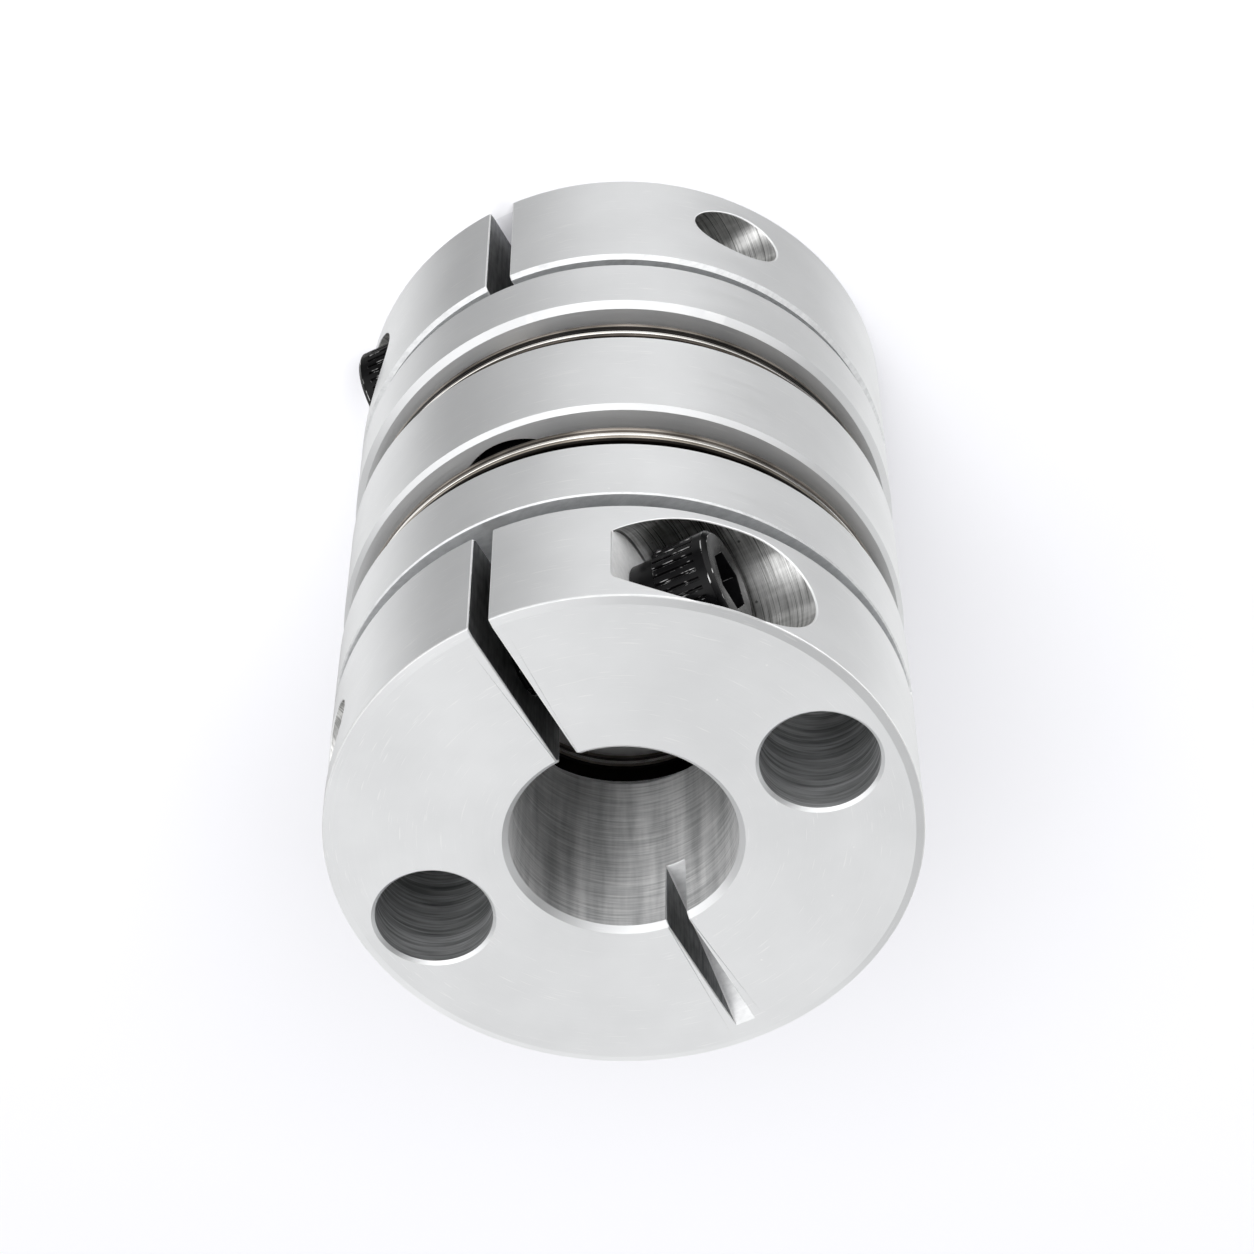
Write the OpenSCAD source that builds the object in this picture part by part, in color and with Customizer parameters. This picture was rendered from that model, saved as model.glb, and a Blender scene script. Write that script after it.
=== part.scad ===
// Double diaphragm shaft coupling: two clamp hubs, two packs of thin steel discs and a
// spacer ring between them. Millimetres. It stands on the lower hub's end face, with the
// shaft axis along +Z and both clamp slots towards +Y.

/* [Outside] */
// Outside diameter of the hubs and the spacer
outer_d = 26; // [25.6:0.2:32]
// Chamfer of the end faces, across the face
end_chamfer_face = 0.4; // [0.1:0.05:0.8]
// Chamfer of the end faces, along the outside
end_chamfer_side = 0.12; // [0.06:0.02:0.14]
// Chamfer of the flanges where they face the discs
flange_chamfer = 0.3; // [0.1:0.05:0.5]
// Chamfer of both edges of the spacer
spacer_chamfer = 0.22; // [0.1:0.02:0.5]

/* [Hubs] */
// Bore for the shaft
bore_d = 10; // [8:0.5:10.5]
// Chamfer at both ends of the bore
bore_chamfer = 0.26; // [0.1:0.02:0.5]
// Length of the clamping section
clamp_len = 6.8; // [6.5:0.1:9]
// Length of the flange that carries the discs
flange_len = 4.1; // [3.8:0.1:6]
// How much nearer to the discs the lower hub is cut
lower_cut_shift = 0.55; // [0:0.05:0.6]
// Diameter of the relief behind the bore
relief_d = 12; // [11:0.2:12.6]
// Depth of the relief behind the bore
relief_depth = 1.25; // [0.4:0.05:2]

/* [Saw cuts] */
// Width of the cut between clamping section and flange
slit_w = 0.8; // [0.6:0.1:1.4]
// Chamfer of the clamping section beside that cut
slit_chamfer = 0.2; // [0.06:0.02:0.3]
// Edge break of the flange beside that cut
slit_break = 0.07; // [0.03:0.01:0.2]
// Diameter of the saw that makes that cut
slit_saw_d = 40; // [30:1:60]
// How far the saw reaches past the wall of the bore
slit_past_bore = 0.5; // [0.2:0.1:1]
// How far the hub is turned each way under the saw
slit_turn = 53; // [30:1:60]
// Width of the upper hub's clamp slot, which its screw has drawn in
slot_w = 0.95; // [0.6:0.05:1.6]
// Width of the lower hub's clamp slot
lower_slot_w = 1.25; // [0.6:0.05:1.6]
// Diameter of the saw that makes the relief slot
slot_saw_d = 80; // [60:1:120]
// Distance from the outside to the point on the end face where that slot runs out
slot_end_inset = 1.2; // [1:0.1:4]
// Solid left between the bottom of the saw and the flange
slot_rest = 0.2; // [0.1:0.05:0.4]

/* [Clamp screws] */
// Thread size of the clamp screws
clamp_screw_d = 2.5; // [2:0.1:3]
// Distance from the outside of the upper hub to its clamp screw's axis
clamp_inset = 4.8; // [4.2:0.05:5]
// Distance from the outside of the lower hub to its clamp screw's axis
lower_clamp_inset = 5.25; // [4.8:0.05:5.4]
// Diameter of the clamp screw's knurled head
clamp_head_d = 4.68; // [4:0.02:5]
// Height of the clamp screw's head
clamp_head_h = 2.5; // [2:0.1:3]
// Length of the clamp screw under its head
clamp_screw_len = 12; // [10:0.5:14]
// Number of ridges round the clamp screw's head
knurl_count = 36; // [24:1:48]
// Depth of the knurl
knurl_depth = 0.13; // [0.05:0.01:0.2]
// Length of the smooth rim above the knurl
rim_h = 0.62; // [0.4:0.02:1]
// Outside diameter of the collar under the head
clamp_collar_d = 4.2; // [3.6:0.1:4.6]
// Thickness of that collar
clamp_collar_t = 1.2; // [0.5:0.05:1.6]
// Radius of the upper hub's pocket for the head
pocket_r = 3; // [2.7:0.05:3.05]
// Distance from the slot's middle plane to that pocket's floor
pocket_floor = 5.6; // [4.5:0.05:6]
// How far the upper hub's pocket is run out towards the outside
pocket_run = 1; // [0.2:0.1:1.5]
// Radius of the lower hub's pocket, which is not run out
lower_pocket_r = 2.8; // [2.6:0.05:3]
// Distance from the slot's middle plane to the floor of the lower hub's pocket
lower_pocket_floor = 6; // [4.5:0.05:6.4]
// Wall between the pocket and the end face
pocket_skin = 0.15; // [0.15:0.05:0.3]
// Diameter of the clearance hole where the thread comes out
exit_d = 3.5; // [3.1:0.1:4]
// Distance from the slot's middle plane to the start of that hole
exit_start = 6; // [4.5:0.1:7.5]

/* [Discs and their screws] */
// Thickness of one disc
disc_t = 0.2; // [0.1:0.02:0.3]
// Step from the outside of the hubs to the edge of the discs
disc_step = 0.55; // [0.2:0.05:1]
// Width of a disc's ring, from its outside to its middle hole
disc_ring_w = 6.45; // [5.8:0.05:6.9]
// Thickness of the collars beside the discs
collar_t = 0.9; // [0.5:0.05:1.4]
// Outside diameter of those collars
collar_d = 4.8; // [4:0.1:5.2]
// Distance from the outside of the hub to the circle on which the disc screws lie
disc_screw_inset = 3.6; // [3.5:0.05:3.8]
// Thread size of the disc screws
disc_screw_d = 2.5; // [2:0.1:2.6]
// Diameter of the disc screws' heads
disc_head_d = 4.5; // [4:0.1:4.8]
// Height of the disc screws' heads
disc_head_h = 2.5; // [1.6:0.1:2.5]
// Thread held by the flange
flange_thread = 3.2; // [2.4:0.1:3.5]
// Thread held by the spacer
spacer_thread = 2.2; // [1.6:0.1:2.4]
// Diameter of the access holes in the hubs
access_d = 5.2; // [5:0.1:5.4]

/* [Spacer] */
// Length of the spacer between its two faces
spacer_len = 6; // [5.4:0.1:20]
// Width of the spacer's ring, from its outside to its middle hole
spacer_ring_w = 7.5; // [6.8:0.1:7.7]
// Diameter of the clearance holes for the disc screws' heads
head_hole_d = 5.8; // [5:0.1:5.9]

/* [Screw details] */
// Width across the flats of the hexagon sockets
key_w = 2.4; // [1.5:0.1:2.6]
// Depth of the hexagon sockets
key_depth = 1.2; // [0.8:0.1:1.4]
// Clearance all round a shank in its hole
fit_gap = 0.04; // [0.02:0.01:0.1]

/* [Hidden] */
$fn = 96;
over = 0.5;
discs = 5;
outer_r = outer_d / 2;
bore_r = bore_d / 2;
hub_len = clamp_len + slit_w + flange_len;
bore_end = hub_len - relief_depth;
disc_gap = discs * disc_t + 2 * collar_t;
total_len = 2 * hub_len + 2 * disc_gap + spacer_len;
disc_r = outer_r - disc_step;
disc_bore_r = disc_r - disc_ring_w;
spacer_bore_r = outer_r - spacer_ring_w;
station_r = outer_r - disc_screw_inset;
station_angles = [90, 270, 0, 180];
clamp_offset = outer_r - clamp_inset;
lower_clamp_len = clamp_len + lower_cut_shift;
lower_clamp_offset = outer_r - lower_clamp_inset;
screw_z = pocket_r + pocket_skin;
slit_core_r = bore_r - slit_past_bore;
slot_end_r = outer_r - slot_end_inset;
silver = [0.84, 0.85, 0.86];
steel = [0.62, 0.6, 0.56];
black = [0.1, 0.1, 0.11];

SIDES = ["upper", "lower"];

// Turns what belongs to the lower hub over, about the slot's direction, to the upper hub
module upper_side() {
    translate([0, 0, total_len]) rotate([0, 180, 0]) children();
}

// Puts a child at one of the four screw stations of a disc pack
module at_station(i) {
    rotate([0, 0, station_angles[i - 1]]) translate([station_r, 0, 0]) children();
}

// Turned blank of a hub, with its end face at z = 0
module hub_blank() {
    rotate_extrude() polygon([
        [bore_r + bore_chamfer, 0],
        [outer_r - end_chamfer_face, 0],
        [outer_r, end_chamfer_side],
        [outer_r, hub_len - flange_chamfer],
        [outer_r - flange_chamfer, hub_len],
        [relief_d / 2, hub_len],
        [relief_d / 2, bore_end],
        [bore_r + bore_chamfer, bore_end],
        [bore_r, bore_end - bore_chamfer],
        [bore_r, bore_chamfer]
    ]);
}

// Area that a round saw sweeps while the hub turns under it
module saw_sweep() {
    reach = slit_saw_d / 2 + slit_core_r;
    far = 2 * slit_saw_d;
    difference() {
        union() {
            for (side = [-1, 1]) rotate(side * slit_turn) translate([0, reach]) circle(d = slit_saw_d);
            polygon([
                [0, 0],
                [far * sin(slit_turn), far * cos(slit_turn)],
                [0, far],
                [-far * sin(slit_turn), far * cos(slit_turn)]
            ]);
        }
        circle(r = slit_core_r);
    }
}

// Cut that frees the clamping section from the flange, with its two broken edges
module slit_cut(clamp) {
    slit_top = clamp + slit_w;
    intersection() {
        linear_extrude(height = hub_len) saw_sweep();
        union() {
            translate([0, 0, clamp]) cylinder(r = outer_r + over, h = slit_w);
            rotate_extrude() polygon([
                [outer_r - slit_chamfer, clamp],
                [outer_r + over, clamp - slit_chamfer - over],
                [outer_r + over, slit_top + slit_break + over],
                [outer_r - slit_break, slit_top],
                [outer_r - slit_chamfer - slit_break, slit_top]
            ]);
        }
    }
}

// Radial slot towards +Y, and the relief slot that the saw leaves across the bore
module slot_cut(clamp, width) {
    saw_r = slot_saw_d / 2;
    above = saw_r - (clamp + slit_w - slot_rest);
    saw_y = sqrt(saw_r * saw_r - above * above) - slot_end_r;
    translate([-width / 2, 0, -over]) cube([width, outer_r + over, clamp + over + slit_w / 2]);
    translate([-width / 2, saw_y, -above]) rotate([0, 90, 0]) cylinder(r = saw_r, h = width);
}

// Clearance hole for the clamp screw, its thread and the hole where it comes out
module clamp_screw_holes(offset, floor_x) {
    hole_r = clamp_screw_d / 2 + fit_gap;
    translate([-floor_x - over, offset, screw_z]) rotate([0, 90, 0])
        cylinder(r = hole_r, h = floor_x + exit_start + 2 * over);
    translate([exit_start, offset, screw_z]) rotate([0, 90, 0]) cylinder(d = exit_d, h = outer_r);
}

// Pocket for the screw head, run out towards the outside
module head_pocket(offset, floor_x, radius, run) {
    translate([-floor_x, offset, screw_z]) rotate([0, -90, 0])
        linear_extrude(height = outer_r) {
            circle(r = radius);
            if (run > 0) translate([0, run]) circle(r = radius);
            if (run > 0) translate([-radius, 0]) square([2 * radius, run]);
        }
}

// Turned and drilled body that both hubs share, cut at the end of its clamping section
module hub_body(clamp) {
    difference() {
        hub_blank();
        slit_cut(clamp);
        for (i = [3, 4]) at_station(i) translate([0, 0, -over]) cylinder(d = access_d, h = hub_len + 2 * over);
        for (i = [1, 2]) at_station(i) translate([0, 0, clamp + slit_w / 2])
            cylinder(r = disc_screw_d / 2 + fit_gap, h = hub_len);
    }
}

// Upper hub before it is turned over, with its end face at z = 0 and its screw head on the -X side
module upper_hub() {
    color(silver) difference() {
        hub_body(clamp_len);
        slot_cut(clamp_len, slot_w);
        clamp_screw_holes(clamp_offset, pocket_floor);
        head_pocket(clamp_offset, pocket_floor, pocket_r, pocket_run);
    }
}

// Lower hub, with its end face at z = 0 and its screw head on the -X side
module lower_hub() {
    color(silver) difference() {
        hub_body(lower_clamp_len);
        slot_cut(lower_clamp_len, lower_slot_w);
        clamp_screw_holes(lower_clamp_offset, lower_pocket_floor);
        head_pocket(lower_clamp_offset, lower_pocket_floor, lower_pocket_r, 0);
    }
}

// Ring between the two disc packs
module center_spacer() {
    color(silver) translate([0, 0, hub_len + disc_gap]) difference() {
        rotate_extrude() polygon([
            [spacer_bore_r, 0],
            [outer_r - spacer_chamfer, 0],
            [outer_r, spacer_chamfer],
            [outer_r, spacer_len - spacer_chamfer],
            [outer_r - spacer_chamfer, spacer_len],
            [spacer_bore_r, spacer_len]
        ]);
        for (i = [1, 2]) at_station(i) translate([0, 0, -over])
            cylinder(d = head_hole_d, h = spacer_len + 2 * over);
        for (i = [3, 4]) at_station(i) translate([0, 0, -over])
            cylinder(r = disc_screw_d / 2 + fit_gap, h = spacer_len + 2 * over);
    }
}

// One spring-steel disc of the lower pack, counted from the hub
module disc(n) {
    color(steel) translate([0, 0, hub_len + collar_t + (n - 1) * disc_t]) difference() {
        cylinder(r = disc_r, h = disc_t);
        translate([0, 0, -over]) cylinder(r = disc_bore_r, h = disc_t + 2 * over);
        for (i = [1:4]) at_station(i) translate([0, 0, -over])
            cylinder(r = disc_screw_d / 2 + fit_gap, h = disc_t + 2 * over);
    }
}

// Turned ring with a hole, standing on z = 0
module ring(outer, hole_r, height) {
    edge = min(0.08, height / 5);
    rotate_extrude() polygon([
        [hole_r, 0],
        [outer / 2 - edge, 0],
        [outer / 2, edge],
        [outer / 2, height - edge],
        [outer / 2 - edge, height],
        [hole_r, height]
    ]);
}

// Socket screw with its head above z = 0 and its shank below
module socket_screw(head_d, head_h, shank_d, shank_len, head_edge) {
    tip = shank_d / 8;
    difference() {
        rotate_extrude() polygon([
            [0, -shank_len],
            [shank_d / 2 - tip, -shank_len],
            [shank_d / 2, -shank_len + tip],
            [shank_d / 2, 0],
            [head_d / 2, 0],
            [head_d / 2, head_h - head_edge],
            [head_d / 2 - head_edge, head_h],
            [0, head_h]
        ]);
        translate([0, 0, head_h - key_depth]) cylinder(r = key_w / sqrt(3), h = key_depth + over, $fn = 6);
    }
}

// Grooves that leave the ridges of a knurled head
module knurl_cut(head_d, height) {
    step = 360 / knurl_count;
    root_r = head_d / 2 - knurl_depth;
    tip_r = head_d / 2 + knurl_depth;
    linear_extrude(height = height) difference() {
        circle(r = tip_r);
        polygon([
            for (i = [0:knurl_count - 1], k = [0:3])
                let (a = (i + k / 4) * step, r = k < 2 ? root_r : tip_r) [r * cos(a), r * sin(a)]
        ]);
    }
}

// Clamp screw in a hub whose pocket has its floor at floor_x
module clamp_screw(offset, floor_x) {
    color(black) translate([-floor_x - clamp_collar_t, offset, screw_z]) rotate([0, -90, 0])
        difference() {
            socket_screw(clamp_head_d, clamp_head_h, clamp_screw_d, clamp_screw_len, rim_h / 3);
            knurl_cut(clamp_head_d, clamp_head_h - rim_h);
        }
}

// Collar under the head of a clamp screw
module clamp_collar(offset, floor_x) {
    color(black) translate([-floor_x, offset, screw_z]) rotate([0, -90, 0])
        ring(clamp_collar_d, clamp_screw_d / 2 + fit_gap, clamp_collar_t);
}

// Disc screws 1 and 2 are held by the hub, 3 and 4 by the spacer
module disc_screw(i) {
    color(black) at_station(i)
        if (i < 3)
            translate([0, 0, hub_len + disc_gap])
                socket_screw(disc_head_d, disc_head_h, disc_screw_d, disc_gap + flange_thread, 0.15);
        else
            translate([0, 0, hub_len]) rotate([180, 0, 0])
                socket_screw(disc_head_d, disc_head_h, disc_screw_d, disc_gap + spacer_thread, 0.15);
}

// Collar between the discs and the piece that holds the thread
module seat_collar(i) {
    color(steel) at_station(i) translate([0, 0, i < 3 ? hub_len : hub_len + disc_gap - collar_t])
        ring(collar_d, disc_screw_d / 2 + fit_gap, collar_t);
}

// Collar between the discs and the screw's head
module head_collar(i) {
    color(steel) at_station(i) translate([0, 0, i < 3 ? hub_len + disc_gap - collar_t : hub_len])
        ring(collar_d, disc_screw_d / 2 + fit_gap, collar_t);
}

upper_side() upper_hub();
lower_hub();
center_spacer();
upper_side() clamp_screw(clamp_offset, pocket_floor);  // upper_clamp_screw
clamp_screw(lower_clamp_offset, lower_pocket_floor);  // lower_clamp_screw
upper_side() clamp_collar(clamp_offset, pocket_floor);  // upper_clamp_collar
clamp_collar(lower_clamp_offset, lower_pocket_floor);  // lower_clamp_collar
for (i = [1:discs]) {
    upper_side() disc(i);
    disc(i);
}
for (i = [1:4]) {
    upper_side() disc_screw(i);
    disc_screw(i);
    upper_side() seat_collar(i);
    seat_collar(i);
    upper_side() head_collar(i);
    head_collar(i);
}
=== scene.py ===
import math

import bmesh
import bpy
from mathutils import Matrix, Vector


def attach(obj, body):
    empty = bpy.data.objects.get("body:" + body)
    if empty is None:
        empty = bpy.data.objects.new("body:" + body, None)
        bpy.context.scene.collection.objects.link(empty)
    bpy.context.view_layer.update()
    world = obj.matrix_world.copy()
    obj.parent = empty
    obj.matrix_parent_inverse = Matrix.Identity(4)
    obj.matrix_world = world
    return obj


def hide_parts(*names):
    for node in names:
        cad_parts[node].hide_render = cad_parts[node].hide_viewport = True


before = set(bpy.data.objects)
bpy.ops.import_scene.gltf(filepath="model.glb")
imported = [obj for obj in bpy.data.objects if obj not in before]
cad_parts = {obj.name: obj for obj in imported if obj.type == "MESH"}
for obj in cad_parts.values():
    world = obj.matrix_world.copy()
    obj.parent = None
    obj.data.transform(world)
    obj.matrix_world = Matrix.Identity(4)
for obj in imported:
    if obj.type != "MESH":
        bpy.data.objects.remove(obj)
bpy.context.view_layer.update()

scene = bpy.context.scene
scene.view_settings.view_transform = "Standard"

# Camera
# It looks down on the upper hub's end face from the side that the clamp slots open to, and it is
# rolled half a turn, so that the lower hub lies towards the top of the picture.
MM = 0.001
VIEW_AZIMUTH = 62.4
VIEW_ELEVATION = 53.9
VIEW_DISTANCE = 165.0 * MM
VIEW_HEIGHT = 19.3 * MM
VIEW_SIDESTEP = 0.14 * MM
SENSOR_WIDTH = 36.0
LENS = 101.45

azimuth = math.radians(VIEW_AZIMUTH)
elevation = math.radians(VIEW_ELEVATION)
towards_camera = Vector((
    math.cos(elevation) * math.cos(azimuth),
    math.cos(elevation) * math.sin(azimuth),
    math.sin(elevation),
))
upright = (-towards_camera).to_track_quat("-Z", "Y").to_matrix().to_4x4()
rolled = upright @ Matrix.Rotation(math.pi, 4, "Z")
rolled.translation = Vector((0, 0, VIEW_HEIGHT)) + towards_camera * VIEW_DISTANCE
rolled.translation += rolled.to_3x3() @ Vector((VIEW_SIDESTEP, 0, 0))
camera_data = bpy.data.cameras.new("camera")
camera_data.sensor_width = SENSOR_WIDTH
camera_data.lens = LENS
camera_data.clip_start = 1.0 * MM
camera = bpy.data.objects.new("camera", camera_data)
camera.matrix_world = rolled
scene.collection.objects.link(camera)
scene.camera = camera

# Paper and tent
# The coupling stands on thin white paper in a white tent that is lit from outside, and the wall is brighter
# in some places than in others, which gives the metal its light and dark bands. Two soft lamps beside the
# camera cast the shadow on the paper.
PAPER_SIDE = 1600 * MM
PAPER_HEX = "E8E8EC"
PAPER_GLOW = 0.10
FOOT_RADIUS = 12.5 * MM
FOOT_STEPS = 64
SHEET_T = 0.1 * MM
BACKDROP = 1.0
# the tent's brighter places as soft round patches: the rise of a row of them, the angles from its middle at
# which a patch is full and ends, and the strength at each turn from the camera's side, to the picture's left
TENT_PATCHES = [
    # high up
    (65, 3, 32, {-120: 0.3, 60: 1.0, 180: 0.5}),
    # above the coupling
    (40, 3, 32, {-144: 0.3, 0: 1.1, 36: 1.2, 72: 0.7, 108: 0.6, 144: 0.7, 180: 0.5}),
    # beside its top
    (14, 3, 34, {-144: 0.1, -108: 0.5, -36: 1.2, 0: 1.0, 36: 0.3, 72: 1.1, 144: 0.4, 180: 0.9}),
    # beside its foot
    (-14, 3, 34, {
        -144: 0.8, -108: 1.0, -72: 1.7, -36: 1.8, 0: 0.9, 36: 0.2, 72: 0.2, 108: 0.7, 144: 0.6,
        180: 0.7,
    }),
    # under the paper
    (-52, 2, 24, {
        -160: 0.2, -140: 0.9, -120: 0.5, -60: 0.1, -20: 0.3, 0: 0.8, 20: 0.1, 40: 0.6, 100: 0.2,
        120: 1.4,
    }),
]


def linear(code):
    """The linear colour of an sRGB hex value."""
    channels = [int(code[i:i + 2], 16) / 255 for i in (0, 2, 4)]
    return tuple(c / 12.92 if c <= 0.04045 else ((c + 0.055) / 1.055) ** 2.4 for c in channels) + (1.0,)


def add(tree, kind, sockets=None, **settings):
    """Adds a node, sets its settings and fills its sockets with values or with links."""
    node = tree.nodes.new(kind)
    for name, value in settings.items():
        setattr(node, name, value)
    for name, value in (sockets or {}).items():
        if isinstance(value, bpy.types.NodeSocket):
            tree.links.new(value, node.inputs[name])
        else:
            node.inputs[name].default_value = value
    return node


def outward(turn, rise):
    """The direction at a turn from the camera's side and a rise above the paper."""
    side = azimuth + math.radians(turn)
    tilt = math.radians(rise)
    return Vector((math.cos(tilt) * math.cos(side), math.cos(tilt) * math.sin(side), math.sin(tilt)))


def paper_material():
    """White paper: matt, and a little brighter to the eye than to the lamps, but not under the coupling."""
    material = bpy.data.materials.new("white_paper")
    material.use_nodes = True
    tree = material.node_tree
    tree.nodes.clear()
    path = add(tree, "ShaderNodeLightPath")
    place = add(tree, "ShaderNodeTexCoord")
    radius = add(tree, "ShaderNodeVectorMath", {0: place.outputs["Object"]}, operation="LENGTH")
    outside = add(tree, "ShaderNodeMath", {
        0: radius.outputs["Value"], 1: FOOT_RADIUS,
    }, operation="GREATER_THAN")
    to_eye = add(tree, "ShaderNodeMath", {
        0: path.outputs["Is Camera Ray"], 1: PAPER_GLOW,
    }, operation="MULTIPLY")
    glow = add(tree, "ShaderNodeMath", {0: to_eye.outputs[0], 1: outside.outputs[0]}, operation="MULTIPLY")
    paper = add(tree, "ShaderNodeBsdfDiffuse", {"Color": linear(PAPER_HEX)})
    light = add(tree, "ShaderNodeEmission", {"Strength": glow.outputs[0]})
    mix = add(tree, "ShaderNodeAddShader", {0: paper.outputs[0], 1: light.outputs[0]})
    add(tree, "ShaderNodeOutputMaterial", {"Surface": mix.outputs[0]})
    return material


def paper_sheet(name, shape):
    """A piece of the paper, which is not part of the coupling."""
    mesh = bpy.data.meshes.new(name)
    shape.to_mesh(mesh)
    shape.free()
    mesh.materials.append(paper_white)
    sheet = bpy.data.objects.new(name, mesh)
    scene.collection.objects.link(sheet)
    return sheet


paper_white = paper_material()
wide = bmesh.new()
bmesh.ops.create_grid(wide, x_segments=1, y_segments=1, size=PAPER_SIDE / 2)
paper = paper_sheet("paper", wide)
# the paper is thin: the tent's light comes up through it, and the metal mirrors the tent behind it
paper.visible_glossy = paper.visible_diffuse = paper.visible_shadow = False
# a second sheet under the coupling's foot keeps that light out of the bore
foot = bmesh.new()
bmesh.ops.create_circle(foot, cap_ends=True, segments=FOOT_STEPS, radius=FOOT_RADIUS)
bmesh.ops.translate(foot, verts=foot.verts, vec=(0, 0, -SHEET_T))
paper_sheet("paper_underneath", foot)

world = bpy.data.worlds.new("tent")
scene.world = world
world.use_nodes = True
tent = world.node_tree
tent.nodes.clear()
tent_path = add(tent, "ShaderNodeLightPath")
tent_place = add(tent, "ShaderNodeTexCoord")
total = add(tent, "ShaderNodeValue")
total.outputs[0].default_value = 0
for rise, full, end, row in TENT_PATCHES:
    for turn, strength in row.items():
        towards = add(tent, "ShaderNodeVectorMath", {
            0: tent_place.outputs["Generated"], 1: outward(turn, rise),
        }, operation="DOT_PRODUCT")
        patch_light = add(tent, "ShaderNodeMapRange", {
            "Value": towards.outputs["Value"],
            "From Min": math.cos(math.radians(end)), "From Max": math.cos(math.radians(full)),
            "To Min": 0.0, "To Max": strength,
        }, interpolation_type="SMOOTHSTEP")
        total = add(tent, "ShaderNodeMath", {
            0: total.outputs[0], 1: patch_light.outputs[0],
        }, operation="ADD")
tent_light = add(tent, "ShaderNodeBackground", {"Strength": total.outputs[0]})
tent_wall = add(tent, "ShaderNodeBackground", {"Strength": BACKDROP})
tent_mix = add(tent, "ShaderNodeMixShader", {
    0: tent_path.outputs["Is Camera Ray"], 1: tent_light.outputs[0], 2: tent_wall.outputs[0],
})
add(tent, "ShaderNodeOutputWorld", {"Surface": tent_mix.outputs[0]})

LAMP_RISE = 54
LAMP_DISTANCE = 300 * MM
LAMP_SIDE = 110 * MM
LAMP_WATTS = 0.27
for name, turn in (("lamp_left", 17), ("lamp_right", -17)):
    lamp_data = bpy.data.lights.new(name, "AREA")
    lamp_data.shape = "SQUARE"
    lamp_data.size = LAMP_SIDE
    lamp_data.energy = LAMP_WATTS
    lamp = bpy.data.objects.new(name, lamp_data)
    away = outward(turn, LAMP_RISE)
    aim = away.to_track_quat("Z", "Y").to_matrix().to_4x4()
    aim.translation = away * LAMP_DISTANCE
    lamp.matrix_world = aim
    lamp.visible_glossy = False
    scene.collection.objects.link(lamp)

# Clamp hubs
# Each hub is turned from aluminium bar, bored, drilled, sawn and milled, and then anodised: an even
# silver satin outside, and bright tool marks where a drill, a saw or a cutter went last. Painted shade
# darkens the drilled holes and the slot walls, and a painted highlight brightens the broken edges.
OUTER_R = 13.0
BORE_R = 5.0
BORE_CHAMFER = 0.26
END_CHAMFER = (0.4, 0.12)
FLANGE_CHAMFER = 0.3
CLAMP_LEN = 6.8
SLIT_W = 0.8
FLANGE_LEN = 4.1
HUB_LEN = CLAMP_LEN + SLIT_W + FLANGE_LEN
LOWER_CUT_SHIFT = 0.55
RELIEF_R = 6.0
RELIEF_DEPTH = 1.25
TOTAL_LEN = 35.0
SLIT_CHAMFER = 0.2
SLIT_BREAK = 0.07
SLIT_SAW_R = 20.0
SLIT_CORE_R = 4.5
SLIT_TURN = 53
SLOT_SAW_R = 40.0
SLOT_END_R = 11.8
SLOT_REST = 0.2
SCREW_Z = 3.15
POCKET_CORNER = 0.06
SHANK_R = 1.25
FIT = 0.04
EXIT_R = 1.75
EXIT_START = 6.0
# what differs between the hubs: length of the clamping section, width of its slot, place of its screw and
# the pocket that the head stands in
HUBS = {
    "lower": {
        "clamp_len": CLAMP_LEN + LOWER_CUT_SHIFT, "slot_w": 1.25, "screw_y": 7.75,
        "pocket_floor": 6.0, "pocket_r": 2.8, "pocket_run": 0.0,
    },
    "upper": {
        "clamp_len": CLAMP_LEN, "slot_w": 0.95, "screw_y": 8.2,
        "pocket_floor": 5.6, "pocket_r": 3.0, "pocket_run": 1.0,
    },
}
ACCESS_R = 2.6
ACCESS_CHAMFER = 0.15
STATION_R = 9.4
STATIONS = {1: 90, 2: 270, 3: 0, 4: 180}
EDGE_BREAK = 0.06
HUB_EDGE = math.radians(50)
OVER = 0.5
TURNED_STEPS = 256
ROD_STEPS = 96
HOLE_STEPS = 64
CORE_STEPS = 192
SLIT_SAW_STEPS = 384
SLOT_SAW_STEPS = 512
NEAR = 0.01
SHARP = math.radians(16)


def turned(outline, steps=TURNED_STEPS):
    """A solid turned about the Z axis from the (radius, z) corners of half its section."""
    bm = bmesh.new()
    corners = [bm.verts.new((r, 0, z)) for r, z in outline]
    edges = [bm.edges.new(pair) for pair in zip(corners, corners[1:] + corners[:1])]
    bmesh.ops.spin(
        bm, geom=corners + edges, axis=(0, 0, 1), cent=(0, 0, 0), angle=math.tau,
        steps=steps, use_merge=True,
    )
    bmesh.ops.remove_doubles(bm, verts=bm.verts, dist=1e-5)
    bmesh.ops.dissolve_degenerate(bm, edges=bm.edges, dist=1e-6)
    bmesh.ops.recalc_face_normals(bm, faces=bm.faces)
    return bm


def rod(radius, length, start, along, steps=ROD_STEPS):
    """A round rod from a start point along a direction."""
    bm = bmesh.new()
    bmesh.ops.create_cone(bm, cap_ends=True, segments=steps, radius1=radius, radius2=radius, depth=length)
    bmesh.ops.translate(bm, verts=bm.verts, vec=(0, 0, length / 2))
    turn = Vector((0, 0, 1)).rotation_difference(Vector(along)).to_matrix()
    bmesh.ops.rotate(bm, verts=bm.verts, cent=(0, 0, 0), matrix=turn)
    bmesh.ops.translate(bm, verts=bm.verts, vec=start)
    return bm


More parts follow.
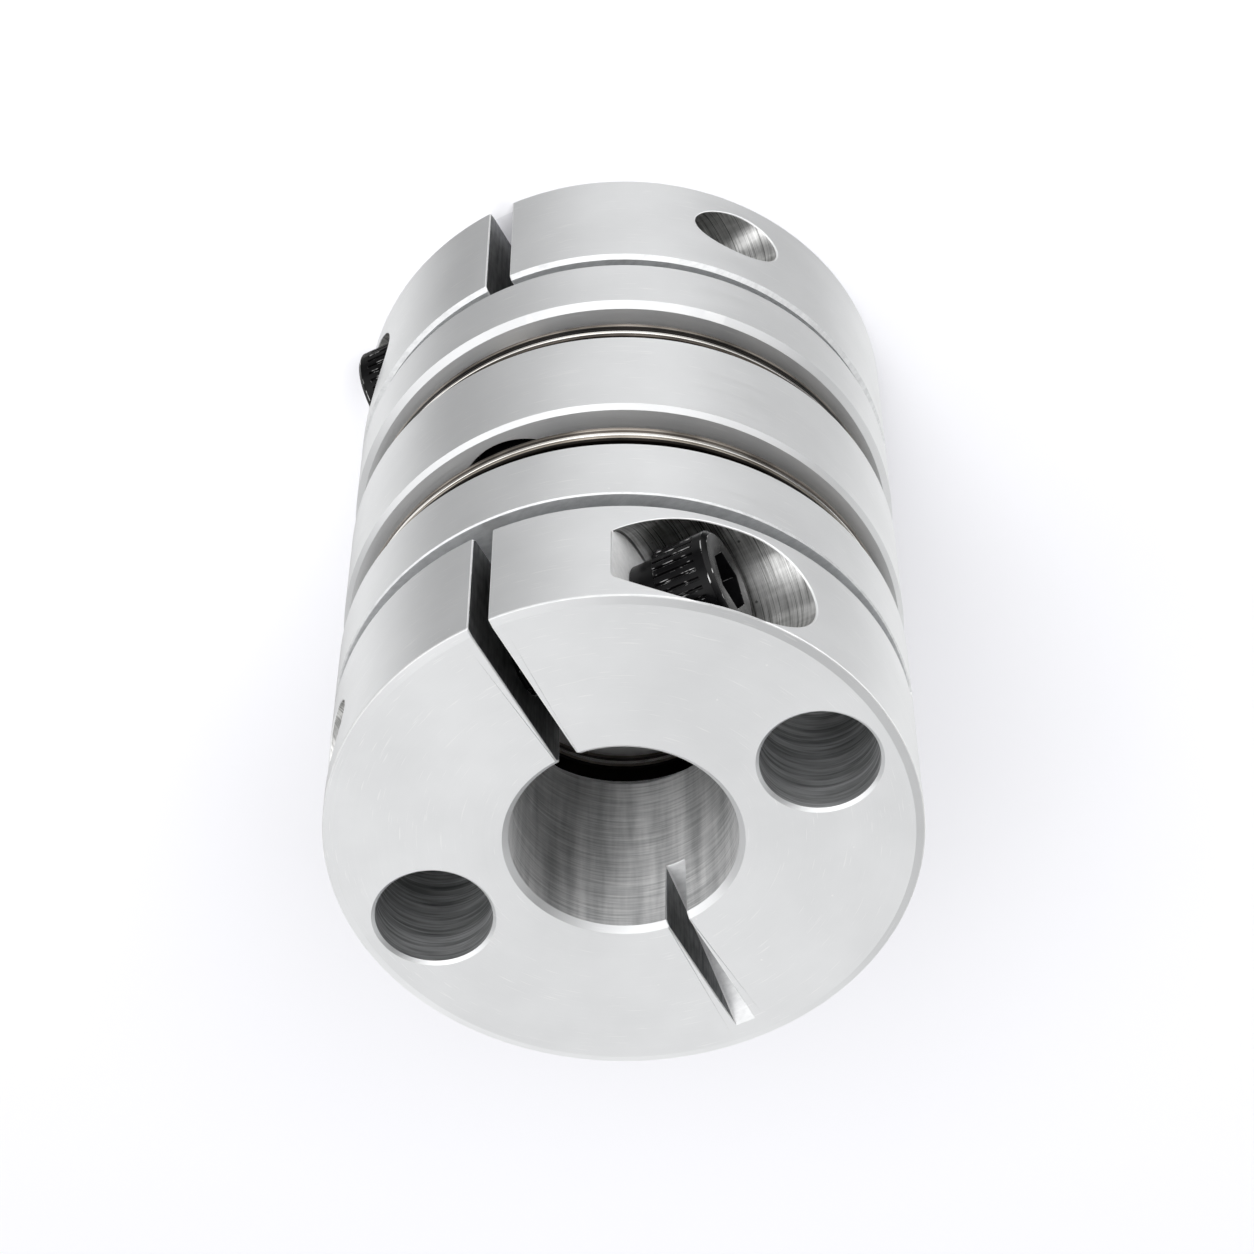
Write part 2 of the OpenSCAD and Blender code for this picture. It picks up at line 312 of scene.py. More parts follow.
def bar(low, high):
    """A square-edged bar between two corners."""
    bm = bmesh.new()
    bmesh.ops.create_cube(bm, size=1)
    bmesh.ops.scale(bm, verts=bm.verts, vec=[b - a for a, b in zip(low, high)])
    bmesh.ops.translate(bm, verts=bm.verts, vec=[(a + b) / 2 for a, b in zip(low, high)])
    return bm


def solid(name, bm, material=None):
    """An object from a bmesh in millimetres."""
    mesh = bpy.data.meshes.new(name)
    bm.to_mesh(mesh)
    bm.free()
    if material:
        mesh.materials.append(material)
    piece = bpy.data.objects.new(name, mesh)
    scene.collection.objects.link(piece)
    return piece


def combine(piece, tool, operation="DIFFERENCE"):
    """Cuts, joins or intersects a piece with a tool, and puts the tool away."""
    step = piece.modifiers.new(operation.lower(), "BOOLEAN")
    step.operation = operation
    step.solver = "EXACT"
    step.material_mode = "TRANSFER"
    step.object = tool
    bpy.context.view_layer.update()
    result = piece.evaluated_get(bpy.context.evaluated_depsgraph_get())
    mesh = bpy.data.meshes.new_from_object(result)
    piece.modifiers.clear()
    old = piece.data
    piece.data = mesh
    bpy.data.meshes.remove(old)
    bpy.data.meshes.remove(tool.data)
    return piece


def break_edges(piece, width, least_angle, look=None):
    """Takes the burr off every edge sharper than an angle. The small new faces may have their own look."""
    if look:
        piece.data.materials.append(look)
    bm = bmesh.new()
    bm.from_mesh(piece.data)
    bmesh.ops.remove_doubles(bm, verts=bm.verts, dist=width / 2)
    bmesh.ops.dissolve_degenerate(bm, edges=bm.edges, dist=width / 10)
    edges = [e for e in bm.edges if len(e.link_faces) == 2 and e.calc_face_angle(0) > least_angle]
    bmesh.ops.bevel(
        bm, geom=edges, offset=width, offset_type="OFFSET", affect="EDGES", segments=2, profile=0.5,
        material=len(piece.data.materials) - 1 if look else -1, clamp_overlap=False, loop_slide=False,
    )
    bm.to_mesh(piece.data)
    bm.free()


def dress(piece, node):
    """Brings a piece to metres, shades it, gives it its body, and hides the imported part of the node that
    it stands for.
    """
    piece.data.transform(Matrix.Scale(MM, 4))
    piece.data.shade_smooth()
    piece.data.set_sharp_from_angle(angle=SHARP)
    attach(piece, "root")
    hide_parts(node)


def satin_material():
    """Anodised aluminium, turned and then matted: an even silver satin with faint lines round the axis."""
    material = bpy.data.materials.new("anodised_satin")
    material.use_nodes = True
    tree = material.node_tree
    tree.nodes.clear()
    place = add(tree, "ShaderNodeTexCoord")
    # the sum of radius and height grows along the rim and across the faces alike, so that marks laid along
    # it run round the axis on both
    parts = add(tree, "ShaderNodeSeparateXYZ", {0: place.outputs["Object"]})
    flat = add(tree, "ShaderNodeCombineXYZ", {"X": parts.outputs["X"], "Y": parts.outputs["Y"]})
    radius = add(tree, "ShaderNodeVectorMath", {0: flat.outputs[0]}, operation="LENGTH")
    along = add(tree, "ShaderNodeMath", {
        0: radius.outputs["Value"], 1: parts.outputs["Z"],
    }, operation="ADD")
    track = add(tree, "ShaderNodeCombineXYZ", {
        "X": parts.outputs["X"], "Y": parts.outputs["Y"], "Z": along.outputs[0],
    })
    # turning lines 0.05 mm apart, drawn out for 6 mm round the axis
    stretch = add(tree, "ShaderNodeMapping", {
        "Vector": track.outputs[0], "Scale": (1 / (6 * MM), 1 / (6 * MM), 1 / (0.05 * MM)),
    })
    lines = add(tree, "ShaderNodeTexNoise", {"Vector": stretch.outputs[0], "Scale": 1.0, "Detail": 3.0})
    # etched grain, 0.06 mm
    grain = add(tree, "ShaderNodeTexNoise", {
        "Vector": place.outputs["Object"], "Scale": 1 / (0.06 * MM), "Detail": 2.0,
    })
    # handling marks and uneven film, 4 mm
    cloud = add(tree, "ShaderNodeTexNoise", {
        "Vector": place.outputs["Object"], "Scale": 1 / (4 * MM), "Detail": 3.0,
    })
    height = add(tree, "ShaderNodeMix", {
        "Factor": 0.45, "A": grain.outputs["Fac"], "B": lines.outputs["Fac"],
    })
    bump = add(tree, "ShaderNodeBump", {
        "Strength": 0.35, "Distance": 0.006 * MM, "Height": height.outputs[0],
    })
    tone = add(tree, "ShaderNodeMapRange", {
        "Value": cloud.outputs["Fac"], "From Min": 0.3, "From Max": 0.7, "To Min": 0.0, "To Max": 1.0,
    })
    colour = add(tree, "ShaderNodeMix", {
        "Factor": tone.outputs[0], 6: linear("E6E7E8"), 7: linear("EDEEEF"),
    }, data_type="RGBA")
    rough = add(tree, "ShaderNodeMapRange", {
        "Value": lines.outputs["Fac"], "From Min": 0.3, "From Max": 0.7, "To Min": 0.38, "To Max": 0.46,
    })
    round_axis = add(tree, "ShaderNodeTangent", direction_type="RADIAL", axis="Z")
    # hairline scratches 0.06 mm wide and 1.5 mm long, and a bright speck every few millimetres
    hair_at = add(tree, "ShaderNodeMapping", {
        "Vector": track.outputs[0], "Scale": (1 / (1.5 * MM), 1 / (1.5 * MM), 1 / (0.06 * MM)),
    })
    hair = add(tree, "ShaderNodeTexNoise", {"Vector": hair_at.outputs[0], "Scale": 1.0, "Detail": 1.0})
    specks = add(tree, "ShaderNodeTexVoronoi", {"Vector": place.outputs["Object"], "Scale": 1 / (1.6 * MM)})
    scratch = add(tree, "ShaderNodeMapRange", {
        "Value": hair.outputs["Fac"], "From Min": 0.68, "From Max": 0.74, "To Min": 0.0, "To Max": 0.5,
    })
    speck = add(tree, "ShaderNodeMapRange", {
        "Value": specks.outputs["Distance"],
        "From Min": 0.02, "From Max": 0.04, "To Min": 0.7, "To Max": 0.0,
    })
    mark = add(tree, "ShaderNodeMath", {0: scratch.outputs[0], 1: speck.outputs[0]}, operation="MAXIMUM")
    worn = add(tree, "ShaderNodeMix", {
        "Factor": mark.outputs[0], 6: colour.outputs[2], 7: linear("FAFAFA"),
    }, data_type="RGBA")
    # the clear film over the metal scatters some of the light, so the metallic share stays under 1
    shader = add(tree, "ShaderNodeBsdfPrincipled", {
        "Base Color": worn.outputs[2], "Metallic": 0.85, "Roughness": rough.outputs[0],
        "Anisotropic": 0.6, "Anisotropic Rotation": 0.25, "Tangent": round_axis.outputs[0],
        "Normal": bump.outputs[0],
    })
    add(tree, "ShaderNodeOutputMaterial", {"Surface": shader.outputs[0]})
    return material


def cut_material(
    name, pitch, streak, depth, roughness, hex_low, hex_high,
    anisotropic=0.0, relief=0.8, scored=0.0, streaky=0.35,
):
    """Bare cut aluminium. Pitch and streak say how far the tool marks and the streaks reach along x, y and z
    in mm, and depth how deep they look. Streaky is the streaks' share in the tone."""
    material = bpy.data.materials.new(name)
    material.use_nodes = True
    tree = material.node_tree
    tree.nodes.clear()
    place = add(tree, "ShaderNodeTexCoord")
    marks_at = add(tree, "ShaderNodeMapping", {
        "Vector": place.outputs["Object"], "Scale": [1 / (p * MM) for p in pitch],
    })
    marks = add(tree, "ShaderNodeTexNoise", {
        "Vector": marks_at.outputs[0], "Scale": 1.0, "Detail": 4.0, "Roughness": 0.6,
    })
    streaks_at = add(tree, "ShaderNodeMapping", {
        "Vector": place.outputs["Object"], "Scale": [1 / (s * MM) for s in streak],
    })
    streaks = add(tree, "ShaderNodeTexNoise", {
        "Vector": streaks_at.outputs[0], "Scale": 1.0, "Detail": 3.0, "Roughness": 0.55,
    })
    height = add(tree, "ShaderNodeMix", {
        "Factor": streaky, "A": marks.outputs["Fac"], "B": streaks.outputs["Fac"],
    })
    bump = add(tree, "ShaderNodeBump", {
        "Strength": relief, "Distance": depth * MM, "Height": height.outputs[0],
    })
    tone = add(tree, "ShaderNodeMapRange", {
        "Value": height.outputs[0], "From Min": 0.35, "From Max": 0.62, "To Min": 0.0, "To Max": 1.0,
    })
    colour = add(tree, "ShaderNodeMix", {
        "Factor": tone.outputs[0], 6: linear(hex_low), 7: linear(hex_high),
    }, data_type="RGBA")
    # single scores that a chip has dragged, twice as narrow and twice as long as the marks, and small pits
    scores_at = add(tree, "ShaderNodeMapping", {
        "Vector": place.outputs["Object"],
        "Scale": [(2 if p == min(pitch) else 0.5) / (p * MM) for p in pitch],
    })
    scores = add(tree, "ShaderNodeTexNoise", {"Vector": scores_at.outputs[0], "Scale": 1.0, "Detail": 1.0})
    pits = add(tree, "ShaderNodeTexVoronoi", {"Vector": place.outputs["Object"], "Scale": 1 / (0.9 * MM)})
    score = add(tree, "ShaderNodeMapRange", {
        "Value": scores.outputs["Fac"],
        "From Min": 0.6, "From Max": 0.68, "To Min": 0.0, "To Max": scored,
    })
    pit = add(tree, "ShaderNodeMapRange", {
        "Value": pits.outputs["Distance"],
        "From Min": 0.05, "From Max": 0.09, "To Min": scored, "To Max": 0.0,
    })
    mark = add(tree, "ShaderNodeMath", {0: score.outputs[0], 1: pit.outputs[0]}, operation="MAXIMUM")
    scarred = add(tree, "ShaderNodeMix", {
        "Factor": mark.outputs[0], 6: colour.outputs[2], 7: linear("3A3A3A"),
    }, data_type="RGBA")
    shader = add(tree, "ShaderNodeBsdfPrincipled", {
        "Base Color": scarred.outputs[2], "Metallic": 1.0, "Roughness": roughness,
        "Anisotropic": anisotropic, "Anisotropic Rotation": 0.25, "Normal": bump.outputs[0],
    })
    if anisotropic:
        round_axis = add(tree, "ShaderNodeTangent", direction_type="RADIAL", axis="Z")
        tree.links.new(round_axis.outputs[0], shader.inputs["Tangent"])
    add(tree, "ShaderNodeOutputMaterial", {"Surface": shader.outputs[0]})
    return material


satin = satin_material()
# the boring bar's rings, 0.12 mm apart, with lengthwise streaks 0.9 mm wide where it was drawn out
bored = cut_material(
    "bored_aluminium", (3, 3, 0.12), (0.9, 0.9, 9), 0.006, 0.64, "BEBFC0", "FFFFFF",
    anisotropic=0.98, relief=0.4, streaky=0.55,
)
# coarser rings that a drill leaves down a hole, 0.14 mm apart, in tones darker than the cut metal: partly
# painted shade for the deep holes
drilled_shaded = cut_material(
    "drilled_aluminium_painted_shade", (4, 4, 0.14), (3, 3, 0.5), 0.02, 0.66, "8E8F90", "E8E9EA",
)
# bright rings 0.12 mm apart round a cutter's axis, scored by chips
milled = cut_material(
    "milled_aluminium", (0.12, 3, 3), (2.5, 0.5, 0.5), 0.012, 0.32, "A8A8A7", "F6F6F5", scored=0.7,
)
# a pocket's floor: matt and nearly even
faced = cut_material(
    "faced_aluminium", (0.4, 0.4, 0.4), (1.5, 1.5, 1.5), 0.004, 0.75, "F2F3F3", "FFFFFF",
)
# the fine arcs of a saw's teeth where it cuts
sawn = cut_material(
    "sawn_aluminium", (0.5, 0.2, 2), (2, 0.6, 0.6), 0.008, 0.5, "E6E7E8", "FAFBFC",
)
# the same marks on the slot's side walls, painted dark: painted shade inside the narrow slot
slot_wall_shade = cut_material(
    "slot_wall_painted_shade", (0.5, 0.2, 2), (2, 0.6, 0.6), 0.008, 0.5, "6A6B6C", "9A9B9C",
)
# the broken edges, paler and fully metallic: a painted highlight along each edge
edge_highlight = cut_material(
    "painted_edge_highlight", (0.5, 0.5, 0.5), (2, 2, 2), 0.002, 0.6, "F6F7F8", "FFFFFF",
)


def station_centre(station):
    """The axis of one of the four disc screws."""
    angle = math.radians(STATIONS[station])
    return STATION_R * math.cos(angle), STATION_R * math.sin(angle)


def saw_sweep():
    """What a round saw sweeps while the hub turns under it, as a tool as long as the hub."""
    reach = SLIT_SAW_R + SLIT_CORE_R
    far = 4 * SLIT_SAW_R
    half_turn = math.radians(SLIT_TURN)
    side, ahead = math.sin(half_turn), math.cos(half_turn)
    bm = bmesh.new()
    corners = [(0, 0), (far * side, far * ahead), (0, far), (-far * side, far * ahead)]
    wedge = bm.faces.new([bm.verts.new((x, y, -OVER)) for x, y in corners])
    top = bmesh.ops.extrude_face_region(bm, geom=[wedge])["geom"]
    moved = [v for v in top if isinstance(v, bmesh.types.BMVert)]
    bmesh.ops.translate(bm, verts=moved, vec=(0, 0, HUB_LEN + 2 * OVER))
    bmesh.ops.recalc_face_normals(bm, faces=bm.faces)
    sweep = solid("sweep", bm, sawn)
    for way in (-1, 1):
        centre = (way * reach * side, reach * ahead, -OVER)
        saw = rod(SLIT_SAW_R, HUB_LEN + 2 * OVER, centre, (0, 0, 1), SLIT_SAW_STEPS)
        combine(sweep, solid("saw", saw, sawn), "UNION")
    core = rod(SLIT_CORE_R, HUB_LEN + 4 * OVER, (0, 0, -2 * OVER), (0, 0, 1), CORE_STEPS)
    return combine(sweep, solid("core", core, sawn))


def slit_tool(clamp_len):
    """The cut that frees a clamping section from its flange, with its two broken edges."""
    top = clamp_len + SLIT_W
    tool = solid("slit", turned([
        (0, clamp_len),
        (OUTER_R - SLIT_CHAMFER, clamp_len),
        (OUTER_R + OVER, clamp_len - SLIT_CHAMFER - OVER),
        (OUTER_R + OVER, top + SLIT_BREAK + OVER),
        (OUTER_R - SLIT_BREAK, top),
        (0, top),
    ]), sawn)
    return combine(tool, saw_sweep(), "INTERSECT")


def pocket_tool(floor, radius, run, screw_y):
    """The pocket of a screw head: a flat floor with round corners, run out towards the outside."""
    bm = rod(radius, OUTER_R, (-floor, screw_y, SCREW_Z), (-1, 0, 0))
    if run:
        second = solid("second", rod(radius, OUTER_R, (-floor, screw_y + run, SCREW_Z), (-1, 0, 0)))
        bm.from_mesh(second.data)
        bpy.data.meshes.remove(second.data)
        bmesh.ops.delete(bm, geom=bm.edges[:], context="EDGES_FACES")
        bmesh.ops.convex_hull(bm, input=bm.verts)
        bmesh.ops.delete(bm, geom=[v for v in bm.verts if not v.link_faces], context="VERTS")
        bmesh.ops.dissolve_limit(bm, angle_limit=math.radians(0.5), verts=bm.verts, edges=bm.edges)
        bmesh.ops.recalc_face_normals(bm, faces=bm.faces)
    rim = [e for e in bm.edges if all(abs(v.co.x + floor) < 1e-4 for v in e.verts)]
    bmesh.ops.bevel(
        bm, geom=rim, offset=POCKET_CORNER, offset_type="OFFSET", affect="EDGES", segments=2, profile=0.5,
        material=-1, clamp_overlap=False, loop_slide=False,
    )
    tool = solid("pocket", bm, milled)
    tool.data.materials.append(faced)
    for face in tool.data.polygons:
        if face.normal.x > 0.999:
            face.material_index = 1
    return tool


def slot_tool(bm):
    """A tool of a slot saw: bright where the saw's rim cuts, and painted dark on its side walls, a painted
    shade for the inside of the slot.
    """
    tool = solid("slot", bm, sawn)
    tool.data.materials.append(slot_wall_shade)
    for face in tool.data.polygons:
        if abs(face.normal.x) > 0.999:
            face.material_index = 1
    return tool


def clamp_hub(clamp_len, slot_w, screw_y, pocket_floor, pocket_r, pocket_run):
    """A clamp hub with its end face at z = 0, its slot towards +Y and its screw head on the -X side."""
    hub = solid("hub", turned([
        (BORE_R + BORE_CHAMFER, 0),
        (OUTER_R - END_CHAMFER[0], 0),
        (OUTER_R, END_CHAMFER[1]),
        (OUTER_R, HUB_LEN - FLANGE_CHAMFER),
        (OUTER_R - FLANGE_CHAMFER, HUB_LEN),
        (RELIEF_R, HUB_LEN),
        (RELIEF_R, HUB_LEN - RELIEF_DEPTH),
        (BORE_R + BORE_CHAMFER, HUB_LEN - RELIEF_DEPTH),
        (BORE_R, HUB_LEN - RELIEF_DEPTH - BORE_CHAMFER),
        (BORE_R, BORE_CHAMFER),
    ]), satin)
    hub.data.materials.append(bored)
    for face in hub.data.polygons:
        if math.hypot(face.center.x, face.center.y) < BORE_R + NEAR:
            face.material_index = 1
    combine(hub, slit_tool(clamp_len))

    # the clamp slot, and the relief slot that the same saw leaves across the bore
    above = SLOT_SAW_R - (clamp_len + SLIT_W - SLOT_REST)
    saw_y = math.sqrt(SLOT_SAW_R ** 2 - above ** 2) - SLOT_END_R
    slot = bar((-slot_w / 2, 0, -OVER), (slot_w / 2, OUTER_R + OVER, clamp_len + SLIT_W / 2))
    combine(hub, slot_tool(slot))
    combine(hub, slot_tool(rod(SLOT_SAW_R, slot_w, (-slot_w / 2, saw_y, -above), (1, 0, 0), SLOT_SAW_STEPS)))

    combine(hub, pocket_tool(pocket_floor, pocket_r, pocket_run, screw_y))
    start = (-pocket_floor - OVER, screw_y, SCREW_Z)
    shank = rod(SHANK_R + FIT, pocket_floor + EXIT_START + 2 * OVER, start, (1, 0, 0), HOLE_STEPS)
    combine(hub, solid("shank", shank, drilled_shaded))
    way_out = rod(EXIT_R, OUTER_R, (EXIT_START, screw_y, SCREW_Z), (1, 0, 0))
    combine(hub, solid("exit", way_out, milled))
    for station in STATIONS:
        centre = station_centre(station)
        if station > 2:
            access = rod(ACCESS_R, HUB_LEN + 2 * OVER, (*centre, -OVER), (0, 0, 1))
            combine(hub, solid("access", access, drilled_shaded))
            countersink = turned([
                (0, -OVER),
                (ACCESS_R + ACCESS_CHAMFER + OVER, -OVER),
                (ACCESS_R, ACCESS_CHAMFER),
                (0, ACCESS_CHAMFER),
            ], ROD_STEPS)
            bmesh.ops.translate(countersink, verts=countersink.verts, vec=(*centre, 0))
            combine(hub, solid("countersink", countersink, satin))
        else:
            thread = rod(SHANK_R + FIT, HUB_LEN, (*centre, clamp_len + SLIT_W / 2), (0, 0, 1), HOLE_STEPS)
            combine(hub, solid("thread", thread, drilled_shaded))
    # the broken edges take the painted highlight
    break_edges(hub, EDGE_BREAK, HUB_EDGE, edge_highlight)
    return hub


turned_over = Matrix.Translation((0, 0, TOTAL_LEN)) @ Matrix.Rotation(math.pi, 4, "Y")
for side, sizes in HUBS.items():
    hub = clamp_hub(**sizes)
    hub.name = "piece_%s_hub" % side
    if side == "upper":
        hub.data.transform(turned_over)
    dress(hub, side + "_hub")

# Center spacer
# A plain turned ring of the same anodised aluminium. Two wide holes clear the screw heads that the hubs
# hold, and two tapped ones hold the screws that are reached through the hubs.
SPACER_LEN = 6.0
SPACER_BORE_R = 5.5
SPACER_CHAMFER = 0.22
HEAD_HOLE_R = 2.9
DISC_COUNT = 5
DISC_T = 0.2
COLLAR_T = 0.9
DISC_GAP = DISC_COUNT * DISC_T + 2 * COLLAR_T
SPACER_LOW = HUB_LEN + DISC_GAP
SPACER_HIGH = SPACER_LOW + SPACER_LEN
SPACER_EDGE = math.radians(60)

spacer = solid("piece_center_spacer", turned([
    (SPACER_BORE_R, SPACER_LOW),
    (OUTER_R - SPACER_CHAMFER, SPACER_LOW),
    (OUTER_R, SPACER_LOW + SPACER_CHAMFER),
    (OUTER_R, SPACER_HIGH - SPACER_CHAMFER),
    (OUTER_R - SPACER_CHAMFER, SPACER_HIGH),
    (SPACER_BORE_R, SPACER_HIGH),
]), satin)
for station in STATIONS:
    radius = SHANK_R + FIT if station > 2 else HEAD_HOLE_R
    start = (*station_centre(station), SPACER_LOW - OVER)
    combine(spacer, solid("hole", rod(radius, SPACER_LEN + 2 * OVER, start, (0, 0, 1)), drilled_shaded))
break_edges(spacer, EDGE_BREAK, SPACER_EDGE)
dress(spacer, "center_spacer")

# Disc packs
# Five spring-steel discs a side, blanked from rolled strip: bright, slightly warm in tone, with a fine
# rolled grain and rounded rims. Each disc is painted a tone of its own, from a painted highlight down to
# painted shade, so that each one shows as a line of its own between the rings.
DISC_STEP = 0.55
DISC_R = OUTER_R - DISC_STEP
DISC_BORE_R = 6.0
DISC_RIM = 0.04
DISC_HOLE_STEPS = 48


def steel_material(name, hex_low, hex_high, roughness):
    """Bright steel: rolled or turned, with a faint oil film that changes its tone from place to place."""
    material = bpy.data.materials.new(name)
    material.use_nodes = True
    tree = material.node_tree
    tree.nodes.clear()
    place = add(tree, "ShaderNodeTexCoord")
    # rolled grain 0.05 mm wide and 2 mm long
    grain_at = add(tree, "ShaderNodeMapping", {
        "Vector": place.outputs["Object"], "Scale": (1 / (2 * MM), 1 / (0.05 * MM), 1 / (0.05 * MM)),
    })
    grain = add(tree, "ShaderNodeTexNoise", {"Vector": grain_at.outputs[0], "Scale": 1.0, "Detail": 3.0})
    film = add(tree, "ShaderNodeTexNoise", {
        "Vector": place.outputs["Object"], "Scale": 1 / (2.5 * MM), "Detail": 2.0,
    })
    tone = add(tree, "ShaderNodeMapRange", {
        "Value": film.outputs["Fac"], "From Min": 0.35, "From Max": 0.65, "To Min": 0.0, "To Max": 1.0,
    })
    colour = add(tree, "ShaderNodeMix", {
        "Factor": tone.outputs[0], 6: linear(hex_low), 7: linear(hex_high),
    }, data_type="RGBA")
    bump = add(tree, "ShaderNodeBump", {
        "Strength": 0.4, "Distance": 0.005 * MM, "Height": grain.outputs["Fac"],
    })
    shader = add(tree, "ShaderNodeBsdfPrincipled", {
        "Base Color": colour.outputs[2], "Metallic": 1.0, "Roughness": roughness, "Normal": bump.outputs[0],
    })
    add(tree, "ShaderNodeOutputMaterial", {"Surface": shader.outputs[0]})
    return material


# the painted tones of the discs' rims: bright is a painted highlight, bronzed a warm mid tone, and dull,
# oiled and black are painted shade of the gap between the rings
DISC_PAINTED_TONES = {
    "bright": ("E6E2DC", "F8F6F2", 0.2),
    "bronzed": ("857D73", "B5ADA2", 0.3),
    "dull": ("5F5952", "A39B92", 0.3),
    "oiled": ("3F3A36", "6B645D", 0.36),
    "black": ("151311", "2A2623", 0.36),
}
# the painted tone of each disc, from the hub to the spacer
DISC_TONE_ORDER = {
    "lower": ("dull", "black", "black", "bright", "oiled"),
    "upper": ("black", "bronzed", "bright", "oiled", "dull"),
}
rolled = {name: steel_material("spring_steel_painted_tone_" + name, *look) for name, look in DISC_PAINTED_TONES.items()}
disc = solid("disc", turned([
    (DISC_BORE_R, 0),
    (DISC_R - DISC_RIM, 0),
    (DISC_R, DISC_RIM),
    (DISC_R, DISC_T - DISC_RIM),
    (DISC_R - DISC_RIM, DISC_T),
    (DISC_BORE_R, DISC_T),
]), rolled["dull"])
for station in STATIONS:
    start = (*station_centre(station), -OVER)
    hole = rod(SHANK_R + FIT, DISC_T + 2 * OVER, start, (0, 0, 1), DISC_HOLE_STEPS)
    combine(disc, solid("hole", hole, rolled["dull"]))
for side, disc_tones in DISC_TONE_ORDER.items():
    for number, disc_tone in enumerate(disc_tones, 1):
        mesh = disc.data.copy()
        mesh.materials[0] = rolled[disc_tone]
        mesh.transform(Matrix.Translation((0, 0, HUB_LEN + COLLAR_T + (number - 1) * DISC_T)))
        if side == "upper":
            mesh.transform(turned_over)
        node = "%s_disc_%d" % (side, number)
        piece = bpy.data.objects.new("piece_" + node, mesh)
        scene.collection.objects.link(piece)
        dress(piece, node)
bpy.data.meshes.remove(disc.data)

# Clamp screws
# Black-oxide socket head screws with a knurled head and a smooth rim, over a black collar. Each one
# stands in the pocket of its hub, crosses the slot, and pulls the clamping section shut.
HEAD_R = 2.34
HEAD_H = 2.5
RIM_H = 0.62
KNURL_COUNT = 36
KNURL_DEPTH = 0.13
KNURL_STEPS = 8
KNURL_ROOTS = 3
SOCKET_R = 2.4 / math.sqrt(3)
SOCKET_DEPTH = 1.2
SCREW_LEN = 12.0
SCREW_STEPS = 144
SCREW_BREAK = 0.025
SCREW_EDGE = math.radians(40)
PLAIN_HEAD_EDGE = 0.15
GROOVE_PLAY = 0.005
THREAD_PITCH = 0.45
THREAD_DEPTH = 0.22
THREAD_SINK = 0.05
THREAD_SHY = 0.02
THREAD_ROOT_HALF = 0.42 * THREAD_PITCH
THREAD_CREST_HALF = 0.04
THREAD_STEPS = 24
CLAMP_COLLAR_R = 2.1
CLAMP_COLLAR_T = 1.2
COLLAR_EDGE = 0.08


def black_material():
    """Black oxide on steel: near black, thinly oiled, with a brown-grey shine where the light grazes it."""
    material = bpy.data.materials.new("black_oxide")
    material.use_nodes = True
    tree = material.node_tree
    tree.nodes.clear()
    place = add(tree, "ShaderNodeTexCoord")
    cloud = add(tree, "ShaderNodeTexNoise", {
        "Vector": place.outputs["Object"], "Scale": 1 / (0.8 * MM), "Detail": 4.0,
    })
    grain = add(tree, "ShaderNodeTexNoise", {
        "Vector": place.outputs["Object"], "Scale": 1 / (0.05 * MM), "Detail": 2.0,
    })
    tone = add(tree, "ShaderNodeMapRange", {
        "Value": cloud.outputs["Fac"], "From Min": 0.35, "From Max": 0.65, "To Min": 0.0, "To Max": 1.0,
    })
    colour = add(tree, "ShaderNodeMix", {
        "Factor": tone.outputs[0], 6: linear("060607"), 7: linear("0D0D0E"),
    }, data_type="RGBA")
    rough = add(tree, "ShaderNodeMapRange", {
        "Value": cloud.outputs["Fac"], "From Min": 0.3, "From Max": 0.7, "To Min": 0.24, "To Max": 0.36,
    })
    bump = add(tree, "ShaderNodeBump", {
        "Strength": 0.3, "Distance": 0.004 * MM, "Height": grain.outputs["Fac"],
    })
    shader = add(tree, "ShaderNodeBsdfPrincipled", {
        "Base Color": colour.outputs[2], "Metallic": 0.0, "Roughness": rough.outputs[0],
        "Specular IOR Level": 0.1, "Coat Weight": 0.12, "Coat Roughness": 0.08, "Normal": bump.outputs[0],
    })
    add(tree, "ShaderNodeOutputMaterial", {"Surface": shader.outputs[0]})
    return material


def worn_material():
    """Edges of a black screw where a key or a wrench has rubbed the oxide thin, in places down to steel."""
    material = bpy.data.materials.new("worn_oxide")
    material.use_nodes = True
    tree = material.node_tree
    tree.nodes.clear()
    place = add(tree, "ShaderNodeTexCoord")
    # bare steel in runs of about 0.4 mm
    rub = add(tree, "ShaderNodeTexNoise", {
        "Vector": place.outputs["Object"], "Scale": 1 / (0.4 * MM), "Detail": 2.0,
    })
    bare = add(tree, "ShaderNodeMapRange", {
        "Value": rub.outputs["Fac"], "From Min": 0.54, "From Max": 0.66, "To Min": 0.0, "To Max": 1.0,
    })
    colour = add(tree, "ShaderNodeMix", {
        "Factor": bare.outputs[0], 6: linear("151415"), 7: linear("C8C8C8"),
    }, data_type="RGBA")
    shader = add(tree, "ShaderNodeBsdfPrincipled", {
        "Base Color": colour.outputs[2], "Metallic": 0.9, "Roughness": 0.3,
    })
    add(tree, "ShaderNodeOutputMaterial", {"Surface": shader.outputs[0]})
    return material


def thread_ridge(radius, length):
    """The ridge of an outside thread that runs down from z = 0."""
    bm = bmesh.new()
    root = radius - THREAD_DEPTH - THREAD_SINK
    crest = radius - THREAD_SHY
    section = (
        (root, 0, THREAD_ROOT_HALF),
        (crest, 0, THREAD_CREST_HALF),
        (crest, 0, -THREAD_CREST_HALF),
        (root, 0, -THREAD_ROOT_HALF),
    )
    face = bm.faces.new([bm.verts.new(corner) for corner in section])
    turns = length / THREAD_PITCH
    bmesh.ops.spin(
        bm, geom=[face], axis=(0, 0, 1), cent=(0, 0, 0), angle=math.tau * turns,
        steps=round(THREAD_STEPS * turns), dvec=(0, 0, -THREAD_PITCH / THREAD_STEPS),
    )
    bmesh.ops.recalc_face_normals(bm, faces=bm.faces)
    return bm


